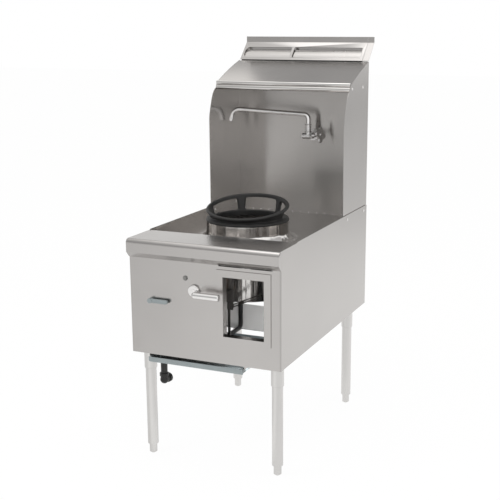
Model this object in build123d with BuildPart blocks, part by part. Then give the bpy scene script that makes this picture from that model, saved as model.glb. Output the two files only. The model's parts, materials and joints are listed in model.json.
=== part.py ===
from build123d import *
import os
from math import cos, radians, sin, sqrt, tan

os.makedirs("parts", exist_ok=True)

# ---------------------------------------------------------------- driving dimensions, mm
HALF_W = 305  # half the cabinet width, 24 inches over all
FRONT = -500  # face of the front panel
DEPTH = 974  # cabinet, front face to back face
BACK = FRONT + DEPTH
T = 2  # casework sheet
BOTTOM = 432  # underside of the cabinet
DECK = 822  # top of the sunken deck
RAIL_TOP = 872  # top of the front rail
PANEL_TOP = 801.5  # top edge of the front panel, under the rail
RAIL_REAR = FRONT + 157
SIDE_TOP = 875

WELL_Y = FRONT + 394.6  # centre of the wok well
WELL_R = 162  # outside of the collar
FLARE_R = 35  # sweep from the collar into the deck
COLLAR_TOP = 891
CHAMBER_R, CHAMBER_BOTTOM = 156, 597
BAFFLE_TOP = 539

RING_R = 164  # wok ring, outside of both lips
RING_WALL_R, RING_BORE_R = 144, 134
RING_TILT = 8.6  # degrees, high at the back
RING_TURN = 4  # degrees about the well's axis
RING_Z = 947.5  # top of the upper lip over the well's axis
LIP_T = 11  # thickness of both lips

WINDOW = (80.5, 241, 537.5, 759.5)  # opening, left, right, low, high
FRAME_OUT = (55.5, 267.5, 516, 786)  # outline of the frame
FRAME_PROUD, TUNNEL = 4, 28
RECESS = (63, 273, 811)  # shallow pocket under the rail above the window, left, right, top

LEG_X, LEG_FRONT, LEG_REAR = 264.6, FRONT + 64.5, FRONT + 850
LEG_R, SOCKET_R = 20.65, 24
SOCKET_BOTTOM, LEG_BOTTOM = 352, 40
FOOT_R, FOOT_STEM_R = 14.75, 8

VALVE_X, VALVE_Y, VALVE_Z = -35, FRONT + 70, 697
PILOT_X, PILOT_Z = -214, 644
IGNITER_X, IGNITER_Z = -71, 741
PIPE_X, PIPE_Y, PIPE_R = -261, FRONT + 160, 13.35
GAS_Z = 750  # level run of the gas pipe
ELBOW_Z, ELBOW_TURN = 270, 6  # mouth to the rear, a little inwards past the leg
FEED_R = 9
FEED_Z = 445

TRAY = (-232, 147, FRONT + 10, FRONT + 390, 398, 418)
TRAY_LIP = (-240, 151, 397, 416)  # the turned front lip, left, right, low, high
SPLASH_Y = FRONT + 970  # face of the backsplash
RISER_X = 301  # outside of the riser's sides
HOOD_BACK, HOOD_BACK_Z = FRONT + 979, 1486
HOOD_CROWN = (FRONT + 843, 1441)  # point half-way up the hood's gentle curve
VENT_TOP_Y, VENT_TOP_Z, FLANGE_TOP = FRONT + 1056, 1563, 1587
VENT_SEAM = 271
VENT_SLOTS = ((-290, -70), (-58, 255))  # left and right ends of both slots
SLOT_MIDDLE, SLOT_HEIGHT = 49, 59  # up the slope from the hood's back edge
DEFLECTOR = ((FRONT + 997, 1488), (FRONT + 1013, 1510), (FRONT + 1034, 1527))  # foot, bend, top
FLUE_X, FLUE_BOTTOM = (-293, 271), 640  # flue, left and right outsides, floor

TAP_X, TAP_Y, TAP_Z = 57, FRONT + 908, 1170
TAP_RISE, TAP_TURN = 9, 12  # degrees that the tap's axis climbs to the right and turns to the front
SPOUT_R, SPOUT_SWING, SPOUT_RISE, SPOUT_LEAN = 10, 12, 3.5, 13
SPOUT_Z, SPOUT_REACH, SPOUT_TIP_Z = 1262, 343, 1231


def block(x0, x1, y0, y1, z0, z1, mode=Mode.ADD):
    """Box between two opposite corners."""
    with Locations(((x0 + x1) / 2, (y0 + y1) / 2, (z0 + z1) / 2)):
        Box(x1 - x0, y1 - y0, z1 - z0, mode=mode)


def rod(start, direction, radius, length, mode=Mode.ADD):
    """Round bar from a start point along a direction."""
    with BuildSketch(Plane(origin=start, z_dir=direction)) as section:
        Circle(radius)
    extrude(section.sketch, amount=length, mode=mode)


def save(built, label):
    """Name the piece and write it out."""
    built.part.label = label
    export_step(built.part, f"parts/{label}.step")


# ---------------------------------------------------------------- cabinet
# Front panel: one sheet bent round both front corners, with a stepped tongue behind each side.
with BuildPart() as front_panel:
    with BuildSketch(Plane.XY.offset(BOTTOM)):
        with Locations((0, FRONT + 3.25)):
            Rectangle(2 * HALF_W, 6.5)
        fillet(vertices().sort_by(Axis.Y)[:2], 6)
        with BuildSketch(mode=Mode.SUBTRACT):
            with Locations((0, FRONT + 4.5)):
                Rectangle(2 * HALF_W - 2 * T, 5)
            fillet(vertices().sort_by(Axis.Y)[:2], 4)
        for s in (-1, 1):
            with Locations((s * (HALF_W - 1.5 * T), FRONT + 18.25)):
                Rectangle(T, 27.5)
    extrude(amount=PANEL_TOP - BOTTOM)
    block(-HALF_W + 8, HALF_W - 8, FRONT + T, FRONT + 28, PANEL_TOP - T, PANEL_TOP)
    # shallow notch under the rail's recess, and the hole for the window's tunnel
    block(*RECESS[:2], FRONT - 1, FRONT + 12, PANEL_TOP - 3.5, PANEL_TOP + 1, Mode.SUBTRACT)
    block(WINDOW[0] - 2.3, WINDOW[1] + 2.3, FRONT - 1, FRONT + 3, WINDOW[2] - 2.3, WINDOW[3] + 2.3,
          Mode.SUBTRACT)
    # holes for the valve boss, the pilot valve and the igniter
    rod((VALVE_X, FRONT - 1, VALVE_Z), (0, 1, 0), 13.3, 4, Mode.SUBTRACT)
    rod((PILOT_X, FRONT - 1, PILOT_Z), (0, 1, 0), 7.3, 4, Mode.SUBTRACT)
    rod((IGNITER_X, FRONT - 1, IGNITER_Z), (0, 1, 0), 8.2, 4, Mode.SUBTRACT)
save(front_panel, "front_panel")

# Side panels: a small step in the top edge where the rail ends.
for side, s in (("left", -1), ("right", 1)):
    with BuildPart() as side_panel:
        with BuildSketch(Plane.YZ.offset(s * (HALF_W - T / 2))):
            with BuildLine():
                Polyline((FRONT + 6.8, BOTTOM), (FRONT + 6.8, RAIL_TOP - T), (RAIL_REAR, RAIL_TOP - T),
                         (RAIL_REAR, SIDE_TOP), (BACK, SIDE_TOP), (BACK, BOTTOM), close=True)
            make_face()
        extrude(amount=T / 2, both=True)
    save(side_panel, f"side_panel_{side}")

# Rear panel: closes the back below the deck, open into the flue.
with BuildPart() as rear_panel:
    block(-HALF_W + T, HALF_W - T, BACK - T, BACK, BOTTOM, DECK - T)
    block(-240, 240, BACK - 3, BACK + 1, 660, 800, Mode.SUBTRACT)
    for z in (480, 510, 540, 570, 600):
        for x in (-150, 0, 150):
            block(x - 55, x + 55, BACK - 3, BACK + 1, z, z + 9, Mode.SUBTRACT)
save(rear_panel, "rear_panel")

# Base frame: a flat ladder that ties the panels together and carries the sockets and the runners.
with BuildPart() as base_frame:
    block(-HALF_W + 4, HALF_W - 4, FRONT + 2 * T, BACK - T, BOTTOM, BOTTOM + T)
    block(-290, 290, FRONT + T, FRONT + 2 * T, BOTTOM, BOTTOM + 20)
    block(-234, 234, FRONT + 100, FRONT + 410, BOTTOM - 1, BOTTOM + 3, Mode.SUBTRACT)
    block(-234, 234, FRONT + 445, FRONT + 815, BOTTOM - 1, BOTTOM + 3, Mode.SUBTRACT)
    block(-HALF_W + 4, HALF_W - 4, BACK - 2 * T, BACK - T, BOTTOM + T, BOTTOM + 30)
    block(-234, 234, FRONT + 443, FRONT + 445, BOTTOM + T, BOTTOM + 24)
    rod((PIPE_X, PIPE_Y, BOTTOM - 1), (0, 0, 1), 17, 4, Mode.SUBTRACT)
save(base_frame, "base_frame")

# Front rail: top, rolled nose, face, sloped return and foot, with a drop at the rear to the deck.
with BuildPart() as front_rail:
    with BuildSketch(Plane.YZ):
        with BuildLine():
            FilletPolyline((RAIL_REAR, DECK), (RAIL_REAR, RAIL_TOP), (FRONT - 2.6, RAIL_TOP), radius=3)
            RadiusArc((FRONT - 2.6, RAIL_TOP), (FRONT - 19, RAIL_TOP - 16.5), -16.45)
            Polyline((FRONT - 19, RAIL_TOP - 16.5), (FRONT - 19, DECK), (FRONT, PANEL_TOP),
                     (FRONT + 28, PANEL_TOP))
            offset(amount=T, side=Side.LEFT)
        make_face()
    extrude(amount=HALF_W, both=True)
    for s in (-1, 1):
        with BuildSketch(Plane.YZ.offset(s * (HALF_W - T / 2))):
            with BuildLine():
                Polyline((FRONT - 17.5, DECK + 1), (FRONT + 1, PANEL_TOP + T),
                         (FRONT + 6.4, PANEL_TOP + T), (FRONT + 6.4, RAIL_TOP - T),
                         (FRONT - 3, RAIL_TOP - T), (FRONT - 17.5, RAIL_TOP - 17), close=True)
            make_face()
        extrude(amount=T / 2, both=True)
        # the drop passes between the side panels
        block(*sorted((s * (HALF_W - T), s * (HALF_W + 1))), RAIL_REAR - 4, RAIL_REAR + 1, DECK - 1,
              RAIL_TOP - T, Mode.SUBTRACT)
    # the foot stops short of the side panels' faces
    for s in (-1, 1):
        block(min(s * HALF_W, s * (HALF_W - 8)), max(s * HALF_W, s * (HALF_W - 8)),
              FRONT + 6.6, FRONT + 30, PANEL_TOP - 1, PANEL_TOP + 4, Mode.SUBTRACT)
    # recess in the sloped return, its back a slanted sheet
    block(*RECESS[:2], FRONT - 25, FRONT + 2, PANEL_TOP - 3, RECESS[2], Mode.SUBTRACT)
    with BuildSketch(Plane.YZ.offset((RECESS[0] + RECESS[1]) / 2)):
        with BuildLine():
            Polyline((FRONT - 8, RECESS[2] + 1), (FRONT + 6, RECESS[2] - 13))
            offset(amount=T, side=Side.LEFT)
        make_face()
    extrude(amount=(RECESS[1] - RECESS[0]) / 2, both=True)
save(front_rail, "front_rail")

# Deck: a sunken pan with upstands against the side panels.
with BuildPart() as deck_pan:
    block(-HALF_W + T, HALF_W - T, RAIL_REAR - 6, SPLASH_Y, DECK - T, DECK)
    for s in (-1, 1):
        block(*sorted((s * (HALF_W - T), s * (HALF_W - 2 * T))), RAIL_REAR, SPLASH_Y, DECK, SIDE_TOP - 2)
    rod((0, WELL_Y, DECK - 3), (0, 0, 1), WELL_R + FLARE_R, 4, Mode.SUBTRACT)
save(deck_pan, "deck_pan")

# Collar: short cylinder swept out into the deck, welded flush round its foot.
with BuildPart() as well_collar:
    with BuildSketch(Plane.XZ.offset(-WELL_Y)):
        with BuildLine():
            RadiusArc((WELL_R + FLARE_R, DECK), (WELL_R, DECK + FLARE_R), FLARE_R)
            Line((WELL_R, DECK + FLARE_R), (WELL_R, COLLAR_TOP))
            offset(amount=T, side=Side.LEFT)
        make_face()
    revolve(axis=Axis((0, WELL_Y, 0), (0, 0, 1)))
save(well_collar, "well_collar")

# Fire chamber: an open tube that hangs inside the collar from its turned-out rim.
with BuildPart() as chamber_shell:
    with BuildSketch(Plane.XY.offset(CHAMBER_BOTTOM)):
        with Locations((0, WELL_Y)):
            Circle(CHAMBER_R)
            Circle(CHAMBER_R - T, mode=Mode.SUBTRACT)
    extrude(amount=COLLAR_TOP - 8 - CHAMBER_BOTTOM)
    with BuildSketch(Plane.XY.offset(COLLAR_TOP - 10)):
        with Locations((0, WELL_Y)):
            Circle(WELL_R - T)
            Circle(CHAMBER_R - T, mode=Mode.SUBTRACT)
    extrude(amount=T)
save(chamber_shell, "chamber_shell")

# Inner baffle: an upright sheet behind the burner, with a turned foot and turned ends.
with BuildPart() as inner_baffle:
    block(-HALF_W + 4, HALF_W - 4, FRONT + 410, FRONT + 412, BOTTOM + T, BAFFLE_TOP)
    block(-230, 230, FRONT + 412, FRONT + 430, BOTTOM + T, BOTTOM + 2 * T)
    for s in (-1, 1):
        block(*sorted((s * (HALF_W - T), s * (HALF_W - 2 * T))), FRONT + 410, FRONT + 430,
              BOTTOM + T, BAFFLE_TOP)
save(inner_baffle, "inner_baffle")

# Window frame: a folded box round the opening with a tunnel through the panel.
with BuildPart() as window_frame:
    block(FRAME_OUT[0], FRAME_OUT[1], FRONT - FRAME_PROUD, FRONT, FRAME_OUT[2], FRAME_OUT[3])
    block(FRAME_OUT[0] + T, FRAME_OUT[1] - T, FRONT - FRAME_PROUD + T, FRONT, FRAME_OUT[2] + T,
          FRAME_OUT[3] - T, Mode.SUBTRACT)
    block(WINDOW[0] - T, WINDOW[1] + T, FRONT - FRAME_PROUD, FRONT + TUNNEL, WINDOW[2] - T, WINDOW[3] + T)
    block(*WINDOW[:2], FRONT - FRAME_PROUD - 1, FRONT + TUNNEL + 1, *WINDOW[2:], Mode.SUBTRACT)
save(window_frame, "window_frame")

# ---------------------------------------------------------------- burner
# Head: a cast drum with a ring of jets and a middle boss.
with BuildPart() as burner_head:
    with BuildSketch(Plane.XZ.offset(-WELL_Y)):
        with BuildLine():
            Polyline((0, 636), (60, 636), (78, 646), (78, 662), (70, 668), (34, 668), (28, 682), (0, 682),
                     close=True)
        make_face()
    revolve(axis=Axis((0, WELL_Y, 0), (0, 0, 1)))
    with Locations((0, WELL_Y, 0)):
        with PolarLocations(54, 12):
            with Locations((0, 0, 672)):
                Cylinder(4.5, 10)
    rod((0, WELL_Y, 635), (0, 0, 1), FEED_R - 2, 20, Mode.SUBTRACT)
save(burner_head, "burner_head")

# Support: a bar across the chamber that the head stands on.
with BuildPart() as burner_support:
    with BuildSketch(Plane.XY.offset(630)):
        with Locations((0, WELL_Y)):
            Rectangle(330, 26)
            Circle(CHAMBER_R - T, mode=Mode.INTERSECT)
            Circle(FEED_R + 0.2, mode=Mode.SUBTRACT)
    extrude(amount=6)
save(burner_support, "burner_support")

# Feed pipe: down from the valve, back under the chamber and up into the head.
with BuildPart() as burner_feed_pipe:
    with BuildLine() as feed_line:
        FilletPolyline((VALVE_X, VALVE_Y, 660), (VALVE_X, VALVE_Y, FEED_Z), (VALVE_X, WELL_Y, FEED_Z),
                       (VALVE_X, WELL_Y, 560), (0, WELL_Y, 560), (0, WELL_Y, 636), radius=20)
    with BuildSketch(Plane.XY.offset(660)):
        with Locations((VALVE_X, VALVE_Y)):
            Circle(FEED_R)
            Circle(FEED_R - 2, mode=Mode.SUBTRACT)
    sweep(path=feed_line.wire())
save(burner_feed_pipe, "burner_feed_pipe")

# Gas pipe: up from below the cabinet, forward, across behind the panel and down to the valve.
with BuildPart() as gas_inlet_pipe:
    with BuildLine() as gas_line:
        FilletPolyline((PIPE_X, PIPE_Y, 286), (PIPE_X, PIPE_Y, GAS_Z), (PIPE_X, VALVE_Y, GAS_Z),
                       (VALVE_X, VALVE_Y, GAS_Z), (VALVE_X, VALVE_Y, 722), radius=24)
    with BuildSketch(Plane.XY.offset(286)):
        with Locations((PIPE_X, PIPE_Y)):
            Circle(PIPE_R)
            Circle(PIPE_R - 2.5, mode=Mode.SUBTRACT)
    sweep(path=gas_line.wire())
save(gas_inlet_pipe, "gas_inlet_pipe")

# Inlet elbow: beaded fitting on the pipe's lower end, mouth to the rear.
mouth = (sin(radians(ELBOW_TURN)), cos(radians(ELBOW_TURN)), 0)
with BuildPart() as inlet_elbow:
    rod((PIPE_X, PIPE_Y, ELBOW_Z), (0, 0, 1), 15.5, 27)
    rod((PIPE_X, PIPE_Y, ELBOW_Z + 16), (0, 0, 1), 18.5, 11)
    with Locations((PIPE_X, PIPE_Y, ELBOW_Z)):
        Sphere(17)
    rod((PIPE_X, PIPE_Y, ELBOW_Z), mouth, 15.5, 30)
    rod((PIPE_X + 20 * mouth[0], PIPE_Y + 20 * mouth[1], ELBOW_Z), mouth, 18.5, 12)
    rod((PIPE_X, PIPE_Y, 286), (0, 0, 1), PIPE_R, 20, Mode.SUBTRACT)
    rod((PIPE_X, PIPE_Y, ELBOW_Z), (0, 0, 1), PIPE_R - 2.5, 20, Mode.SUBTRACT)
    rod((PIPE_X, PIPE_Y, ELBOW_Z), mouth, PIPE_R - 2.5, 20, Mode.SUBTRACT)
    rod((PIPE_X + 14 * mouth[0], PIPE_Y + 14 * mouth[1], ELBOW_Z), mouth, 12.1, 20, Mode.SUBTRACT)
save(inlet_elbow, "inlet_elbow")

# Main valve: hexagon ends, round body and a boss that reaches through the panel.
with BuildPart() as gas_valve_body:
    rod((VALVE_X, VALVE_Y, 662), (0, 0, 1), 19, 58)
    for z in (660, 712):
        with BuildSketch(Plane.XY.offset(z)):
            with Locations((VALVE_X, VALVE_Y)):
                RegularPolygon(18.5, 6, major_radius=False)
        extrude(amount=10)
    rod((VALVE_X, FRONT - 2, VALVE_Z), (0, 1, 0), 13, 60)
    rod((VALVE_X, FRONT + T, VALVE_Z), (0, 1, 0), 19, 6)
    rod((VALVE_X, FRONT - 3, VALVE_Z), (0, 1, 0), 7.06, 61, Mode.SUBTRACT)
save(gas_valve_body, "gas_valve_body")

# Valve stem: turns in the boss, the lever is pinned on its front end.
with BuildPart() as valve_stem:
    rod((VALVE_X, FRONT - 12, VALVE_Z), (0, 1, 0), 7, 69)
save(valve_stem, "valve_stem")

# Valve lever: flat round hub, angled neck and a round grip that lies to the right.
with BuildPart() as valve_lever:
    rod((VALVE_X, FRONT - 12, VALVE_Z), (0, 1, 0), 22.5, 9.6)
    fillet(edges().filter_by(GeomType.CIRCLE).sort_by(Axis.Y)[0], 3.5)
    rod((VALVE_X + 16, FRONT - 8, VALVE_Z), (14, -38, -4), 8, 41)
    rod((-11, FRONT - 46, 693), (1, 0, 0), 12, 97)
    with Locations((-11, FRONT - 46, 693)):
        Sphere(12)
    chamfer(edges().filter_by(GeomType.CIRCLE).sort_by(Axis.X)[-1], 2.5)
    rod((VALVE_X, FRONT - 20, VALVE_Z), (0, 1, 0), 7, 25, Mode.SUBTRACT)
save(valve_lever, "valve_lever")

# Lever cap: the bright disc over the hub's screw.
with BuildPart() as lever_cap:
    rod((VALVE_X, FRONT - 14.5, VALVE_Z), (0, 1, 0), 8, 2.5)
    chamfer(edges().filter_by(GeomType.CIRCLE).sort_by(Axis.Y)[0], 0.8)
save(lever_cap, "lever_cap")

# Pilot valve: small block fed from the level run, its barrel reaches through the panel.
with BuildPart() as pilot_valve:
    block(PILOT_X - 12, PILOT_X + 12, FRONT + 52, FRONT + 88, PILOT_Z - 14, PILOT_Z + 14)
    rod((PILOT_X, FRONT - 2, PILOT_Z), (0, 1, 0), 7, 56)
    rod((PILOT_X, FRONT + T, PILOT_Z), (0, 1, 0), 11, 5)
    rod((PILOT_X, VALVE_Y, PILOT_Z + 14), (0, 0, 1), 4.5, GAS_Z - PIPE_R - PILOT_Z - 14)
    rod((PILOT_X, FRONT - 3, PILOT_Z), (0, 1, 0), 3.06, 40, Mode.SUBTRACT)
save(pilot_valve, "pilot_valve")

# Pilot lever: round-ended bar on a round hub, with the spindle that turns in the barrel.
with BuildPart() as pilot_lever:
    with BuildSketch(Plane.XZ.offset(18 - FRONT)):
        with Locations((PILOT_X + 31.5, PILOT_Z)):
            SlotOverall(84, 15)
    extrude(amount=-10)
    chamfer(faces().sort_by(Axis.Y)[0].edges(), 1.5)
    rod((PILOT_X, FRONT - 19, PILOT_Z), (0, 1, 0), 9.5, 16.6)
    rod((PILOT_X, FRONT - 10, PILOT_Z), (0, 1, 0), 3, 44)
save(pilot_lever, "pilot_lever")

# Pilot tube: thin line from the pilot valve back and up into the chamber.
with BuildPart() as pilot_tube:
    with BuildLine() as pilot_line:
        FilletPolyline((PILOT_X, VALVE_Y, PILOT_Z - 14), (PILOT_X, VALVE_Y, 520), (PILOT_X, FRONT + 330, 520),
                       (-75, FRONT + 330, 520), (-75, FRONT + 330, 640), radius=14)
    with BuildSketch(Plane.XY.offset(PILOT_Z - 14)):
        with Locations((PILOT_X, VALVE_Y)):
            Circle(4)
    sweep(path=pilot_line.wire())
save(pilot_tube, "pilot_tube")

# Pilot burner: a small capped tip on the end of the tube.
with BuildPart() as pilot_burner:
    rod((-75, FRONT + 330, 640), (0, 0, 1), 7, 26)
    chamfer(edges().filter_by(GeomType.CIRCLE).sort_by(Axis.Z)[-1], 2)
save(pilot_burner, "pilot_burner")

# Igniter: barrel through the panel with a thin bezel, and its sprung button.
with BuildPart() as igniter_body:
    rod((IGNITER_X, FRONT - 1.6, IGNITER_Z), (0, 1, 0), 9.5, 1.6)
    rod((IGNITER_X, FRONT, IGNITER_Z), (0, 1, 0), 8, 40)
    rod((IGNITER_X, FRONT + T, IGNITER_Z), (0, 1, 0), 11, 5)
    rod((IGNITER_X, FRONT - 2, IGNITER_Z), (0, 1, 0), 6.8, 22, Mode.SUBTRACT)
save(igniter_body, "igniter_body")

with BuildPart() as igniter_button:
    rod((IGNITER_X, FRONT - 5, IGNITER_Z), (0, 1, 0), 6.75, 19)
    chamfer(edges().filter_by(GeomType.CIRCLE).sort_by(Axis.Y)[0], 1)
save(igniter_button, "igniter_button")

# Electrode bracket: a strap that drops from the panel's back beside the window.
with BuildPart() as electrode_bracket:
    block(23, 48, FRONT + T, FRONT + 2 * T, 674, 712)
    block(23, 48, FRONT + T, FRONT + 152, 672, 674)
    block(23, 48, FRONT + 150, FRONT + 152, 592, 674)
    block(25, 36, FRONT + 150, FRONT + 152, 486, 592)
save(electrode_bracket, "electrode_bracket")

# Electrodes: two slanted rods clamped to the bracket, ends under the chamber.
slant = Vector(168 - 43.7, 0, 663 - 606.4).normalized()
with BuildPart() as igniter_electrodes:
    for lift in (-4.5, 4.5):
        rod((26, FRONT + 156, 598.4 + lift), tuple(slant), 2, 150)
    rod((40, FRONT + 152, 604.8), (0, 1, 0), 9, 8)
    rod((80, FRONT + 152, 623), (0, 1, 0), 7.5, 10)
save(igniter_electrodes, "igniter_electrodes")

# ---------------------------------------------------------------- tray and legs
with BuildPart() as drip_tray:
    block(*TRAY)
    block(TRAY[0] + 1.5, TRAY[1] - 1.5, TRAY[2] + 1.5, TRAY[3] - 1.5, TRAY[4] + 1.5, TRAY[5] + 1,
          Mode.SUBTRACT)
    block(TRAY[0] - 5.5, TRAY[0], FRONT + 14, TRAY[3], TRAY[5] - 1.5, TRAY[5])
    block(TRAY[1], TRAY[1] + 5.5, FRONT + 14, TRAY[3], TRAY[5] - 1.5, TRAY[5])
    block(TRAY[0] + 1.5, TRAY[1] - 1.5, TRAY[2] - 1, TRAY[2] + 2, TRAY[5] - 2.5, TRAY[5] + 1, Mode.SUBTRACT)
    with BuildSketch(Plane.XZ.offset(-FRONT - 8)):
        with Locations(((TRAY_LIP[0] + TRAY_LIP[1]) / 2, (TRAY_LIP[2] + TRAY_LIP[3]) / 2)):
            Rectangle(TRAY_LIP[1] - TRAY_LIP[0], TRAY_LIP[3] - TRAY_LIP[2])
        fillet(vertices().sort_by(Axis.Z)[:2], 6)
    extrude(amount=-2)
save(drip_tray, "drip_tray")

# Runners: each hangs from the base frame and carries one of the tray's side flanges.
with BuildPart() as tray_runner_left:
    block(TRAY[0] - 8, TRAY[0] - 1, FRONT + 16, FRONT + 440, TRAY[5] - 3.5, TRAY[5] - 2)
    block(TRAY[0] - 8, TRAY[0] - 6.3, FRONT + 16, FRONT + 440, TRAY[5] - 3.5, BOTTOM)
    block(TRAY[0] - 8, TRAY[0] + 8, FRONT + 16, FRONT + 440, BOTTOM - 1.7, BOTTOM)
save(tray_runner_left, "tray_runner_left")

with BuildPart() as tray_runner_right:
    block(TRAY[1] + 1, TRAY[1] + 8, FRONT + 16, FRONT + 440, TRAY[5] - 3.5, TRAY[5] - 2)
    block(TRAY[1] + 6.3, TRAY[1] + 8, FRONT + 16, FRONT + 440, TRAY[5] - 3.5, BOTTOM)
    block(TRAY[1] + 6.3, TRAY[1] + 28, FRONT + 16, FRONT + 440, BOTTOM - 1.7, BOTTOM)
save(tray_runner_right, "tray_runner_right")

# Legs: flanged socket, tube with a bored plug, and a bullet foot on a stem.
for name, x, y in (("front_left", -LEG_X, LEG_FRONT), ("front_right", LEG_X, LEG_FRONT),
                   ("rear_left", -LEG_X, LEG_REAR), ("rear_right", LEG_X, LEG_REAR)):
    with BuildPart() as leg_socket:
        rod((x, y, SOCKET_BOTTOM), (0, 0, 1), SOCKET_R, BOTTOM - SOCKET_BOTTOM)
        chamfer(edges().filter_by(GeomType.CIRCLE).sort_by(Axis.Z)[0], 2)
        rod((x, y, SOCKET_BOTTOM), (0, 0, 1), LEG_R, 70, Mode.SUBTRACT)
    save(leg_socket, f"leg_socket_{name}")
    with BuildPart() as leg:
        rod((x, y, LEG_BOTTOM), (0, 0, 1), LEG_R, SOCKET_BOTTOM + 68 - LEG_BOTTOM)
        rod((x, y, LEG_BOTTOM + 18), (0, 0, 1), LEG_R - 1.5, 400, Mode.SUBTRACT)
        rod((x, y, LEG_BOTTOM - 1), (0, 0, 1), FOOT_STEM_R + 0.05, 30, Mode.SUBTRACT)
    save(leg, f"leg_{name}")
    with BuildPart() as foot:
        rod((x, y, 0), (0, 0, 1), FOOT_R, LEG_BOTTOM)
        chamfer(edges().filter_by(GeomType.CIRCLE).sort_by(Axis.Z)[0], 5, 7)
        rod((x, y, LEG_BOTTOM), (0, 0, 1), FOOT_STEM_R, 45)
    save(foot, f"foot_{name}")

# ---------------------------------------------------------------- wok ring
# Casting: level lower lip with a spigot inside the collar, thin wall with three windows between posts, and an
# upper lip tilted up at the back. The bore stays upright through all of it.
centre = Plane(origin=(0, WELL_Y, 0), x_dir=(cos(radians(RING_TURN)), sin(radians(RING_TURN)), 0))
tilted = Plane(origin=(0, WELL_Y, RING_Z), x_dir=tuple(centre.x_dir),
               z_dir=tuple(Vector(0, 0, 1).rotate(Axis((0, 0, 0), tuple(centre.x_dir)), RING_TILT)))
lower_top = COLLAR_TOP + LIP_T


def lip_underside(bearing, radius):
    """Height of the tilted lip's underside at a bearing and radius from the well's axis."""
    climb = radius * sin(bearing - radians(RING_TURN)) * tan(radians(RING_TILT))
    return RING_Z - LIP_T / cos(radians(RING_TILT)) + climb


with BuildPart() as wok_ring:
    with BuildSketch(Plane.XY.offset(COLLAR_TOP)):
        with Locations((0, WELL_Y)):
            Circle(RING_R - 0.5)
    extrude(amount=LIP_T)
    fillet(edges().filter_by(GeomType.CIRCLE).sort_by(Axis.Z)[-1], 5)
    fillet(edges().filter_by(GeomType.CIRCLE).sort_by(Axis.Z)[0], 2.5)
    with BuildSketch(Plane.XY.offset(COLLAR_TOP - 7.7)):
        with Locations((0, WELL_Y)):
            Circle(WELL_R - T - 0.5)
    extrude(amount=7.7)
    # wall, trimmed by the tilted plane
    with BuildSketch(Plane.XY.offset(lower_top - 2)):
        with Locations((0, WELL_Y)):
            Circle(RING_WALL_R)
    extrude(amount=100)
    with BuildSketch(tilted.offset(-LIP_T / 2)):
        Rectangle(500, 500)
    extrude(amount=120, mode=Mode.SUBTRACT)
    rod((0, WELL_Y, COLLAR_TOP - 20), (0, 0, 1), RING_BORE_R, 150, Mode.SUBTRACT)
    # three windows between the posts, their corners rounded and their tops along the tilted lip
    for bearing, span in ((30, 52), (93.5, 51), (157, 52)):
        middle, half = radians(bearing), radians(span / 2)
        reach = RING_WALL_R * sin(half)
        outward = Plane(origin=(0, WELL_Y, 0), x_dir=(-sin(middle), cos(middle), 0),
                        z_dir=(cos(middle), sin(middle), 0))
        with BuildSketch(outward.offset(RING_BORE_R * cos(half) - 3)):
            with BuildLine():
                Polyline((-reach, lower_top + 2), (reach, lower_top + 2),
                         (reach, lip_underside(middle + half, RING_WALL_R) - 2),
                         (-reach, lip_underside(middle - half, RING_WALL_R) - 2), close=True)
            make_face()
            fillet(vertices(), 11)
        extrude(amount=RING_WALL_R, mode=Mode.SUBTRACT)
    # tilted upper lip, bored upright a little wider than the spigot
    with BuildSketch(tilted.offset(-LIP_T)):
        Circle(RING_R)
    extrude(amount=LIP_T)
    fillet(edges().filter_by(GeomType.CIRCLE).filter_by(
        lambda e: abs(e.radius - RING_R) < 0.1 and abs(e.center().Z - RING_Z) < 25), 5)
    rod((0, WELL_Y, lower_top - 2), (0, 0, 1), RING_BORE_R + 0.8, 150, Mode.SUBTRACT)
save(wok_ring, "wok_ring")

# ---------------------------------------------------------------- riser and flue
# Sides: upright edge that sweeps back under the hood and follows its slope.
for side, s in (("left", -1), ("right", 1)):
    with BuildPart() as riser_side:
        with BuildSketch(Plane.YZ.offset(s * (RISER_X - T / 2))):
            with BuildLine():
                Polyline((HOOD_BACK, HOOD_BACK_Z), (HOOD_BACK, SIDE_TOP - 40), (SPLASH_Y, SIDE_TOP - 40),
                         (SPLASH_Y, DECK), (FRONT + 670, DECK), (FRONT + 670, 1240))
                Spline((FRONT + 670, 1240), (FRONT + 685, 1307), (FRONT + 701, 1346), (FRONT + 724, 1373),
                       tangents=((0, 1), (1, 0.7)))
                Polyline((FRONT + 724, 1373), (FRONT + 737, 1378), (FRONT + 744, 1399))
                ThreePointArc((FRONT + 744, 1399), HOOD_CROWN, (HOOD_BACK, HOOD_BACK_Z))
            make_face()
        extrude(amount=T / 2, both=True)
    save(riser_side, f"riser_side_{side}")

# Backsplash: mirror sheet with a narrow foot riveted to the deck.
with BuildPart() as backsplash:
    block(-RISER_X + T, RISER_X - T, SPLASH_Y, SPLASH_Y + T, DECK, HOOD_BACK_Z - 7)
    block(-RISER_X + T, RISER_X - T, SPLASH_Y - 14, SPLASH_Y, DECK, DECK + 1.5)
    rod((TAP_X, SPLASH_Y - 3, TAP_Z), (0, 1, 0), 10.2, 10, Mode.SUBTRACT)
save(backsplash, "backsplash")

# Hood: sloping sheet between the sides, its front edge rolled to a bead over a folded lip.
with BuildPart() as hood_panel:
    with BuildSketch(Plane.YZ):
        with BuildLine():
            FilletPolyline((FRONT + 764, 1374), (FRONT + 743, 1371), (FRONT + 741, 1391), (FRONT + 748, 1401),
                           radius=2.5)
            ThreePointArc((FRONT + 748, 1401), HOOD_CROWN, (BACK - 1.2, HOOD_BACK_Z - 2))
            offset(amount=T, side=Side.RIGHT)
        make_face()
    extrude(amount=RISER_X - T, both=True)
    rod((T - RISER_X, FRONT + 746, 1399), (1, 0, 0), 8, 2 * (RISER_X - T))
save(hood_panel, "hood_panel")

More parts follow.
